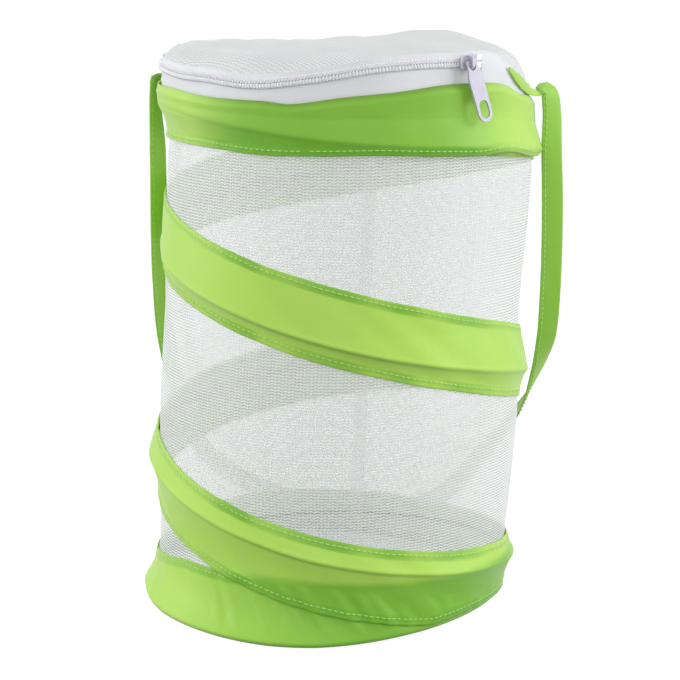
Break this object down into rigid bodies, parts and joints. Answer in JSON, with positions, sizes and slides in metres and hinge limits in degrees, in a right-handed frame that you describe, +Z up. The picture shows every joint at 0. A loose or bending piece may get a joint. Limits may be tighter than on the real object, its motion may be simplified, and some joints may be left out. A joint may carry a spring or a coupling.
{
  "type": "butterfly cage",
  "caption": "Collapsible pop-up butterfly cage: a mesh cylinder on a spiral spring, with green bands, a zipped mesh lid and a long carry strap.",
  "frame": {"origin": "middle of the floor's underside", "axes": "+Z up along the cage's axis; the strap's ends lie on the X axis and the zip faces -Y"},
  "size_m": [0.2331, 0.2179, 0.3121],
  "materials": {
    "green_cloth": "satin woven polyester",
    "white_mesh": "fine knitted net",
    "white_cloth": "matt woven tape",
    "white_nylon": "smooth nylon coil",
    "spring_steel": "bare spring wire",
    "crimp_metal": "pressed metal",
    "pale_enamel": "glossy enamel"
  },
  "bodies": {
    "base": {"floor_panel": "white_cloth", "wall_mesh": "white_mesh", "wall_seam_tape": "white_cloth", "bottom_ring_wire": "spring_steel", "bottom_ring_ferrule": "crimp_metal", "bottom_band": "green_cloth", "spiral_spring_wire": "spring_steel", "spiral_band": "green_cloth"},
    "top_ring": {"top_ring_wire": "spring_steel", "top_ring_ferrule": "crimp_metal", "top_band": "green_cloth", "lower_zip_tape": "white_cloth", "lower_zip_coil": "white_nylon", "zip_top_stop_lower": "crimp_metal", "zip_bottom_stop": "crimp_metal", "rim_tape_rear": "white_cloth", "rim_binding_rear": "white_cloth", "lid_mesh_rear": "white_mesh", "strap_end_right": "green_cloth", "strap_end_left": "green_cloth"},
    "lid": {"lid_mesh_flap": "white_mesh", "upper_zip_tape": "white_cloth", "upper_zip_coil": "white_nylon", "flap_binding": "white_cloth", "zip_top_stop_upper": "crimp_metal"},
    "zip_slider": {"zip_slider_body": "pale_enamel"},
    "pull_tab": {"zip_pull_tab": "pale_enamel"},
    "carry_strap": {"carry_strap": "green_cloth"}
  },
  "joints": [
    {"name": "collapse", "type": "slide", "parent": "base", "child": "top_ring", "axis": [0, 0, 1], "range_m": [-0.22, 0], "stiffness_N_per_m": 30, "springref_m": 0.05, "deforming": ["wall_mesh", "wall_seam_tape", "spiral_spring_wire", "spiral_band"]},
    {"name": "lid_fold", "type": "hinge", "parent": "top_ring", "child": "lid", "pos_m": [-0.00923, -0.03842, 0.30561], "axis": [-0.9709, 0.2331, -0.0546], "range_deg": [0, 150]},
    {"name": "zip_travel", "type": "hinge", "parent": "top_ring", "child": "zip_slider", "pos_m": [0, 0, 0.2992], "axis": [0.0705, 0.0605, -0.9957], "range_deg": [0, 119]},
    {"name": "pull_tab_swing", "type": "hinge", "parent": "zip_slider", "child": "pull_tab", "pos_m": [0.07567, -0.07322, 0.3006], "axis": [-0.6915, -0.7164, -0.0925], "range_deg": [0, 165]},
    {"name": "strap_swing", "type": "hinge", "parent": "top_ring", "child": "carry_strap", "pos_m": [0, 0, 0.2844], "axis": [1, 0, 0], "range_deg": [0, 157.7]}
  ]
}
